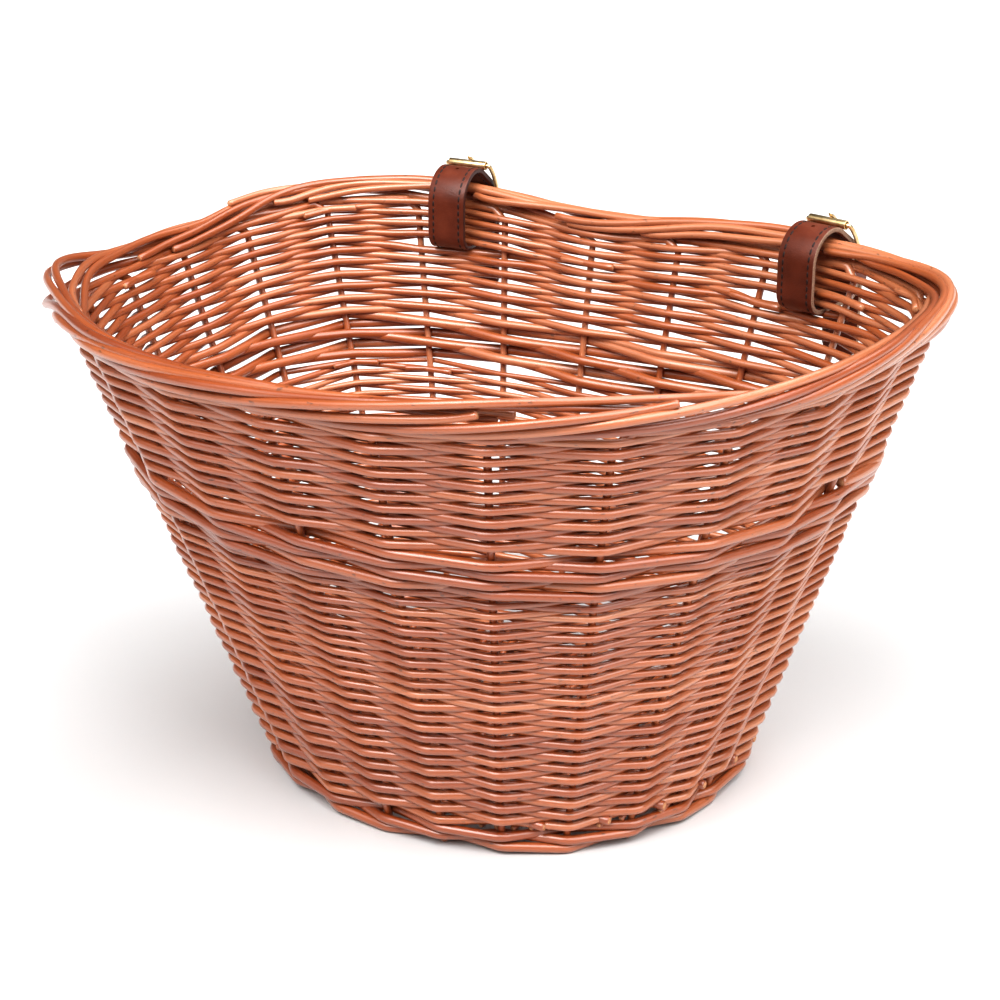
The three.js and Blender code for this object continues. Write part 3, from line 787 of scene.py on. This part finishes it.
def make_base():
    sticks = base_sticks()
    rods = Rods()
    for half, y in sticks:
        x = np.linspace(-half - BASE_STICK_END, half + BASE_STICK_END, BASE_STICK_STEPS)
        line = np.stack([x, np.full(len(x), y), np.full(len(x), BASE_HEIGHT)], axis=1)
        rods.add(line, UP, BASE_STICK_RADIUS)
    rods.make("base_sticks", *node_names("base_stick"))
    weave = Rods()
    widest = max(half for half, _ in sticks)
    runs = int((widest - BASE_INSET) / BASE_ROD_PITCH)
    reach = BASE_STICK_RADIUS + BASE_PRESS * BASE_ROD_RADIUS
    border = wall_point(np.linspace(0, STAKES, BASE_OUTLINE_STEPS), BASE_HEIGHT)
    stick_y = np.array([y for _, y in sticks])
    for run in range(-runs, runs + 1):
        x = run * BASE_ROD_PITCH
        near = border[np.abs(border[:, 0] - x) < BASE_ROD_PITCH]
        y = np.linspace(near[:, 1].min() + BASE_INSET, near[:, 1].max() - BASE_INSET, BASE_ROD_STEPS)
        sides = np.where((np.arange(len(sticks)) + run) % 2 == 0, 1.0, -1.0)
        swing = np.interp(y, stick_y, sides)
        z = BASE_HEIGHT + reach * np.sin(swing * QUARTER_TURN)
        line = np.stack([np.full(len(y), x), y, z], axis=1)
        weave.add(line, (1, 0, 0), BASE_ROD_RADIUS * chance.uniform(*BASE_ROD_SCATTER))
    weave.make("base_weave", "base_weaver")


make_base()


# Straps and buckles

along_strap = np.array([math.cos(STRAP_SLOPE), -math.sin(STRAP_SLOPE)])
off_strap = np.array([math.sin(STRAP_SLOPE), math.cos(STRAP_SLOPE)])
half_leather = STRAP_THICKNESS / 2
fold_radius = BAR_RADIUS + BAR_GAP + half_leather
tail_radius = fold_radius + STRAP_THICKNESS + SEAT_GAP
under_roller = np.array([BUCKLE_ROLLER_OUT, BORDER_TOP + STRAP_BORDER_GAP + half_leather])
roller = under_roller + off_strap * (half_leather + SEAT_GAP + ROLLER_RADIUS)
over_heel = under_roller + along_strap * BUCKLE_SPAN
heel = over_heel - off_strap * tail_radius
inner_layer = heel[0] + fold_radius
fold_layer = inner_layer - STRAP_THICKNESS - SEAT_GAP
tail_layer = heel[0] + tail_radius
inside_layer = -STRAP_INSIDE_REACH
keeper_bottom = STRAP_SLOT_HEIGHT + STRAP_OUTSIDE_RADIUS + KEEPER_RISE


def from_heel(along, off):
    return heel + along_strap * along + off_strap * off


def arc(centre, radius, start, end):
    steps = max(ARC["fewest"], int(abs(end - start) * radius / ARC["step"]))
    ways = [np.array([math.cos(angle), math.sin(angle)]) for angle in np.linspace(start, end, steps)]
    return [np.array(centre) + radius * way for way in ways]


def along_line(places, lengths, values):
    """What a line's values are at other places along it."""
    return np.stack([np.interp(places, lengths, column) for column in values.T], axis=1)


def evened(points, step):
    """The same line with points at even steps."""
    points = np.asarray(points, float)
    lengths = run_lengths(points)
    keep = np.concatenate([[True], np.diff(lengths) > SAME_POINT])
    points, lengths = points[keep], lengths[keep]
    return along_line(np.linspace(0, lengths[-1], max(2, int(lengths[-1] / step))), lengths, points)


def strap_line():
    """From the sewn fold round the heel bar: down, in through the wall, up inside, over and down."""
    top_radius = (under_roller[0] - inside_layer) / (1 + off_strap[0])
    top_centre = under_roller - off_strap * top_radius
    outside_bend = (inner_layer - STRAP_OUTSIDE_RADIUS, STRAP_SLOT_HEIGHT + STRAP_OUTSIDE_RADIUS)
    inside_bend = (inside_layer + STRAP_INSIDE_RADIUS, STRAP_SLOT_HEIGHT + STRAP_INSIDE_RADIUS)
    points = [np.array([fold_layer, keeper_bottom]), np.array([fold_layer, heel[1] - STRAP_FOLD_RISE])]
    points += arc(heel, fold_radius, 2 * QUARTER_TURN, 0)
    points += arc(outside_bend, STRAP_OUTSIDE_RADIUS, 0, -QUARTER_TURN)
    points += arc(inside_bend, STRAP_INSIDE_RADIUS, -QUARTER_TURN, -2 * QUARTER_TURN)
    points += arc(top_centre, top_radius, 2 * QUARTER_TURN, QUARTER_TURN - STRAP_SLOPE)
    points += arc(heel, tail_radius, QUARTER_TURN - STRAP_SLOPE, 0)
    points.append(np.array([tail_layer, heel[1] - STRAP_TAIL_DROP]))
    return points


class Hanger:
    """Where a strap hangs: turns (across, out, up) of its side view into the wall's axes."""

    def __init__(self, place):
        point = wall_point(place, RIM_HEIGHT)
        self.out = wall_out(place, RIM_HEIGHT)
        self.across = np.array([self.out[1], -self.out[0], 0.0])
        self.foot = np.array([point[0], point[1], 0.0])

    def place(self, local):
        local = np.asarray(local, float)
        level = local[..., :1] * self.across + local[..., 1:2] * self.out
        return self.foot + level + local[..., 2:] * np.array(UP)


def rounded_section(half_width, half_thickness, rounding, steps=3):
    """A rounded rectangle as (width, thickness) points, counter-clockwise."""
    points = []
    corners = ((1, 1, 0), (-1, 1, 1), (-1, -1, 2), (1, -1, 3))
    for side, face, quarter in corners:
        for step in range(steps + 1):
            angle = (quarter + step / steps) * QUARTER_TURN
            points.append((side * (half_width - rounding) + rounding * math.cos(angle),
                           face * (half_thickness - rounding) + rounding * math.sin(angle)))
    return np.array(points)


def band(points, section, widths=None, thicknesses=None, closed=False):
    """A section carried along a flat line: gives (line x, line y, width) points and the faces."""
    points = np.asarray(points, float)
    if closed:
        before, after = np.roll(points, 1, axis=0), np.roll(points, -1, axis=0)
        tangents = unit(after - before)
    else:
        tangents = unit(np.gradient(points, axis=0))
    normals = np.stack([-tangents[:, 1], tangents[:, 0]], axis=1)
    widths = np.ones(len(points)) if widths is None else widths
    thicknesses = np.ones(len(points)) if thicknesses is None else thicknesses
    flat = points[:, None] + normals[:, None] * (section[None, :, 1:] * thicknesses[:, None, None])
    wide = np.broadcast_to(section[None, :, :1], (len(points), len(section), 1)) * widths[:, None, None]
    made = np.concatenate([flat, wide], axis=2)
    count = len(section)
    rings = len(points)
    faces = ring_faces(rings, count, closed)[:, [0, 3, 2, 1]].tolist()
    if not closed:
        faces.append(list(range(count)))
        faces.append([(rings - 1) * count + side for side in reversed(range(count))])
    return made.reshape(-1, 3), faces


def upright_band(made):
    """Line x is out, line y is up, width is across."""
    return np.stack([made[:, 2], made[:, 0], made[:, 1]], axis=1)


def lathe(profile, centre, sides=32):
    """A closed profile of (across, radius) points turned about a bar across the strap."""
    profile = np.asarray(profile, float)
    points = []
    for angle in turns(sides):
        out = centre[0] + profile[:, 1] * math.cos(angle)
        rise = centre[1] + profile[:, 1] * math.sin(angle)
        points.append(np.stack([profile[:, 0], out, rise], axis=1))
    return np.concatenate(points), ring_faces(sides, len(profile), closed=True).tolist()


def ring_profile(half_length, outer, inner, rounding):
    section = rounded_section(half_length, (outer - inner) / 2, rounding)
    return section + np.array([0.0, (outer + inner) / 2])


def rod_profile(half_length, radius):
    """A solid bar: the profile runs along the axis with a tiny core, and has rounded ends."""
    return ring_profile(half_length, radius, BAR_CORE, min(radius, half_length) * BAR_ROUNDING)


def joined(parts):
    points, faces, count = [], [], 0
    for part_points, part_faces in parts:
        points.append(part_points)
        faces += [[count + corner for corner in face] for face in part_faces]
        count += len(part_points)
    return np.concatenate(points), faces


def strap_mesh():
    """The strap's points and faces, which of the faces are cut edges, and its middle line."""
    line = evened(strap_line(), STRAP_STEP)
    section = rounded_section(STRAP_WIDTH / 2, half_leather, STRAP_ROUNDING)
    lengths = run_lengths(line)
    tip = np.clip((lengths[-1] - lengths) / STRAP_TIP["length"], 0, 1)
    widths = STRAP_TIP["width"] + (1 - STRAP_TIP["width"]) * np.sqrt(1 - (1 - tip) ** 2)
    made, faces = band(line, section, widths)
    middles = (section + np.roll(section, -1, axis=0)) / 2
    section_edges = np.abs(middles[:, 0]) > STRAP_WIDTH / 2 - STRAP_EDGE
    on_edge = np.tile(section_edges, len(line) - 1).tolist() + [True, True]
    return upright_band(made), faces, on_edge, line


def punch(centre, way, radius, half_length, sides=16):
    """A short cylinder that points a given way in the strap's side view, to cut a round hole with."""
    across_way = np.array([way[1], -way[0]])
    points = []
    for end in (-1, 1):
        for turn in turns(sides):
            flat = centre + across_way * radius * math.sin(turn) + way * end * half_length
            points.append((radius * math.cos(turn), flat[0], flat[1]))
    faces = ring_faces(2, sides).tolist()
    faces.append(list(reversed(range(sides))))
    faces.append(list(range(sides, 2 * sides)))
    return np.array(points), faces


def stitches(line):
    """Small stitches along both edges, on both faces of the strap."""
    lengths = run_lengths(line)
    tangents = unit(np.gradient(line, axis=0))
    normals = np.stack([-tangents[:, 1], tangents[:, 0]], axis=1)
    swell = np.linspace(-STITCH["end"], STITCH["end"], STITCH["steps"])
    plump = np.sqrt(np.clip(1 - swell ** 2, 0, 1))
    rounding = STITCH["rounding"] * STITCH["height"]
    section = rounded_section(STITCH["half_width"], STITCH["height"], rounding, steps=2)
    parts = []
    starts = np.arange(STITCH["from_fold"], lengths[-1] - STITCH["from_tip"], STITCH["pitch"])
    for start in starts:
        places = np.linspace(start, start + STITCH["length"], STITCH["steps"])
        middle = along_line(places, lengths, line)
        off = along_line(places, lengths, normals)
        for face in (1, -1):
            stitch_line = middle + face * off * half_leather
            for side in (1, -1):
                made, faces = band(stitch_line, section, plump, plump)
                made[:, 2] += side * (STRAP_WIDTH / 2 - STITCH["inset"])
                parts.append((upright_band(made), faces))
    return joined(parts)


def cut_away(target, cutters):
    """Cuts each cutter out of the target, removes the cutter and keeps the new rims sharp."""
    for cutter in cutters:
        cut = target.modifiers.new("cut", "BOOLEAN")
        cut.object = cutter
        cut.operation = "DIFFERENCE"
        cut.solver = "EXACT"
        bpy.context.view_layer.objects.active = target
        bpy.ops.object.modifier_apply(modifier=cut.name)
        bpy.data.objects.remove(cutter)
    target.data.set_sharp_from_angle(angle=SHARP_RIM)


def spare_hole(line):
    """Cutter for the small hole before the roller."""
    to_roller = np.linalg.norm(line - under_roller, axis=1)
    before = np.arange(len(line)) < to_roller.argmin()
    hole_at = np.abs(np.where(before, to_roller, math.inf) - SPARE_HOLE["before_roller"]).argmin()
    along = unit(line[hole_at + 1] - line[hole_at - 1])
    return punch(line[hole_at], np.array([-along[1], along[0]]), SPARE_HOLE["radius"], STRAP_THICKNESS)


def tail_hole(number):
    """Cutter for one of the holes in the strap's tail, counted up from the tip."""
    above = TAIL_HOLES["above_tip"] + number * TAIL_HOLES["pitch"]
    centre = np.array([tail_layer, heel[1] - STRAP_TAIL_DROP + above])
    return punch(centre, np.array([1.0, 0.0]), TAIL_HOLES["radius"], half_leather + TAIL_HOLES["past"])


def prong_slot():
    """Cutter for the slot that the prong comes through."""
    middle = from_heel(PRONG_SLOT["shift"], tail_radius)
    ends = np.linspace(-1, 1, PRONG_SLOT["steps"])
    line = [middle + along_strap * end * PRONG_SLOT["length"] / 2 for end in ends]
    section = rounded_section(PRONG_SLOT["width"] / 2, STRAP_THICKNESS, PRONG_SLOT["rounding"])
    points, faces = band(line, section)
    return upright_band(points), faces


def prong_eye_room():
    """Cutter for the room that the prong's eye takes up in the fold."""
    return lathe(rod_profile(PRONG_SLOT["width"] / 2, tail_radius - half_leather - SEAT_GAP / 2), heel)


def make_strap(side, hanger):
    points, faces, on_edge, line = strap_mesh()
    edge = raw_edge if side == "right" else painted_edge
    made = make_object(f"{side}_strap_leather", hanger.place(points), faces, [leather, edge],
                       [int(value) for value in on_edge])
    shapes = [spare_hole(line)]
    shapes += [tail_hole(number) for number in range(TAIL_HOLES["count"])]
    shapes += [prong_slot(), prong_eye_room()]
    cutters = [make_object("cutter", hanger.place(corners), sides, []) for corners, sides in shapes]
    cut_away(made, cutters)
    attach(made, "basket")
    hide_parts(f"{side}_strap")
    thread_points, thread_faces = stitches(line)
    sewn = make_object(f"{side}_strap_stitches", hanger.place(thread_points), thread_faces, [thread])
    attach(sewn, "basket")


def bezier(start, middle, end, steps):
    share = np.linspace(0, 1, steps)[:, None]
    return (1 - share) ** 2 * start + 2 * share * (1 - share) * middle + share ** 2 * end


def tube(line, radius, reference, sides=14):
    """A round wire along a closed line, with its section turned by a reference direction."""
    ahead = np.roll(line, -1, axis=0)
    behind = np.roll(line, 1, axis=0)
    spread = ways_round(unit(ahead - behind), reference, turns(sides))
    points = (line[:, None] + radius * spread).reshape(-1, 3)
    return points, ring_faces(len(line), sides, closed=True).tolist()


def frame_wire():
    """The frame's closed line: arm, front bar, arm and heel bar, with its corners rounded."""
    arm_middle = STRAP_WIDTH / 2 + BUCKLE_SIDE_GAP + ARM_THICKNESS / 2
    bulge = (heel + roller) / 2 + off_strap * ARM_BULGE / 2
    arm_line = bezier(heel, bulge, roller, ARM_STEPS)
    right_arm = np.column_stack([np.full(len(arm_line), arm_middle), arm_line])
    left_arm = right_arm * np.array([-1.0, 1.0, 1.0])
    corners = np.vstack([left_arm, right_arm[::-1], left_arm[:1]])
    line = evened(corners, WIRE_STEP)[:-1]
    reach = int(WIRE_BEND / WIRE_STEP)
    return sum(np.roll(line, shift, axis=0) for shift in range(-reach, reach + 1)) / (2 * reach + 1)


def roller_shape():
    half_length = STRAP_WIDTH / 2 + BUCKLE_SIDE_GAP - ROLLER_END_GAP
    profile = ring_profile(half_length, ROLLER_RADIUS, BAR_RADIUS + ROLLER_BORE_GAP, ROLLER_ROUNDING)
    return lathe(profile, roller, ROLLER_SIDES)


def prong_shape():
    """A bar that curves from the heel bar over the roller, and an eye round the heel bar."""
    roller_top = tail_radius + half_leather + SEAT_GAP + 2 * ROLLER_RADIUS
    rest = roller_top + SEAT_GAP + PRONG_THICKNESS / 2
    root = from_heel(-PRONG_ROOT_BACK, (BAR_RADIUS + PRONG_EYE_GAP + PRONG_EYE_RADIUS) / 2)
    hump = from_heel(-PRONG_HUMP_BACK, rest + SEAT_GAP)
    tip = from_heel(-BUCKLE_SPAN - PRONG_TIP_REACH, rest)
    shank = np.linspace(*PRONG_TAPER, PRONG_STEPS - len(PRONG_TIP_TAPER))
    taper = np.concatenate([shank, PRONG_TIP_TAPER])
    section = rounded_section(PRONG_WIDTH / 2, PRONG_THICKNESS / 2, PRONG_ROUNDING)
    points, faces = band(bezier(root, hump, tip, PRONG_STEPS), section, taper, taper)
    bore_radius = BAR_RADIUS + PRONG_EYE_GAP
    eye = ring_profile(PRONG_WIDTH / 2, PRONG_EYE_RADIUS, bore_radius, PRONG_EYE_ROUNDING)
    return joined([(upright_band(points), faces), lathe(eye, heel, PRONG_EYE_SIDES)])


def make_brass(side, part, hanger, shape):
    """A brass piece of the buckle, which replaces the node and rides on the body of its name."""
    points, faces = shape
    made = make_object(f"{side}_{part}_brass", hanger.place(points), faces, [brass])
    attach(made, f"{side}_{part}")
    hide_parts(f"{side}_{part}")


def make_buckle(side, hanger):
    wire = tube(frame_wire(), WIRE_RADIUS, np.array([0.0, *off_strap]))
    make_brass(side, "buckle_frame", hanger, wire)
    make_brass(side, "buckle_roller", hanger, roller_shape())
    make_brass(side, "buckle_prong", hanger, prong_shape())


def make_keeper(side, hanger):
    grow = KEEPER_THICKNESS / 2 + SEAT_GAP
    half_across = STRAP_WIDTH / 2 + grow
    near = fold_layer - half_leather - KEEPER_SLACK - grow
    far = tail_layer + half_leather + grow
    line = []
    corners = ((half_across, far), (-half_across, far), (-half_across, near), (half_across, near))
    for turn, (x, y) in enumerate(corners):
        inward = -KEEPER_CORNER if y == far else KEEPER_CORNER
        centre = (x - math.copysign(KEEPER_CORNER, x), y + inward)
        line += arc(centre, KEEPER_CORNER, turn * QUARTER_TURN, (turn + 1) * QUARTER_TURN)
    section = rounded_section(KEEPER_HEIGHT / 2, KEEPER_THICKNESS / 2, KEEPER_ROUNDING)
    loop = evened(line + line[:1], KEEPER_STEP)[:-1]
    points, faces = band(loop, section, closed=True)
    points[:, 2] += keeper_bottom + KEEPER_HEIGHT / 2
    made = make_object(f"{side}_keeper_leather", hanger.place(points), faces, [leather])
    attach(made, f"{side}_strap_keeper")
    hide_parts(f"{side}_strap_keeper")


for strap_side, strap_place in STRAP_PLACES.items():
    strap_hanger = Hanger(strap_place)
    make_strap(strap_side, strap_hanger)
    make_buckle(strap_side, strap_hanger)
    make_keeper(strap_side, strap_hanger)


# Floor, light and camera

def make_floor():
    corners = [(x * FLOOR_HALF, y * FLOOR_HALF, 0) for x, y in ((-1, -1), (1, -1), (1, 1), (-1, 1))]
    floor = make_object("floor", corners, [[0, 1, 2, 3]], [pale_floor])


def aim(made, location, target):
    made.location = Vector(to_frame(location))
    way = Vector(to_frame(target)) - made.location
    made.rotation_mode = "QUATERNION"
    made.rotation_quaternion = way.to_track_quat("-Z", "Y")


def way_to(azimuth, elevation):
    """The way from the basket to a camera or light, at angles from the middle of the front."""
    level = math.cos(elevation)
    return np.array([math.sin(azimuth) * level, -math.cos(azimuth) * level, math.sin(elevation)])


def soft_sun(name, azimuth, elevation, spread, strength):
    """A far light as wide as a soft box, the same all over the floor."""
    lamp = bpy.data.lights.new(name, "SUN")
    lamp.angle = math.radians(spread)
    lamp.energy = strength
    made = bpy.data.objects.new(name, lamp)
    bpy.context.scene.collection.objects.link(made)
    way = way_to(math.radians(azimuth), math.radians(elevation))
    aim(made, np.array(CAMERA_TARGET) + way * METRE, CAMERA_TARGET)


def make_light():
    world = bpy.data.worlds.new("studio")
    bpy.context.scene.world = world
    world.use_nodes = True
    background = world.node_tree.nodes["Background"]
    background.inputs["Color"].default_value = (1.0, 1.0, 1.0, 1.0)
    background.inputs["Strength"].default_value = WORLD_STRENGTH
    for name, light in LIGHTS.items():
        soft_sun(name, **light)


def make_camera():
    data = bpy.data.cameras.new("camera")
    data.sensor_width = SENSOR_WIDTH
    data.lens = CAMERA_LENS
    data.shift_x, data.shift_y = CAMERA_SHIFT
    camera = bpy.data.objects.new("camera", data)
    bpy.context.scene.collection.objects.link(camera)
    back = way_to(CAMERA_AZIMUTH, CAMERA_ELEVATION)
    aim(camera, np.array(CAMERA_TARGET) + back * CAMERA_DISTANCE, CAMERA_TARGET)
    bpy.context.scene.camera = camera


make_floor()
make_light()
make_camera()
view = bpy.context.scene.view_settings
view.view_transform = "Standard"
view.gamma = VIEW_GAMMA
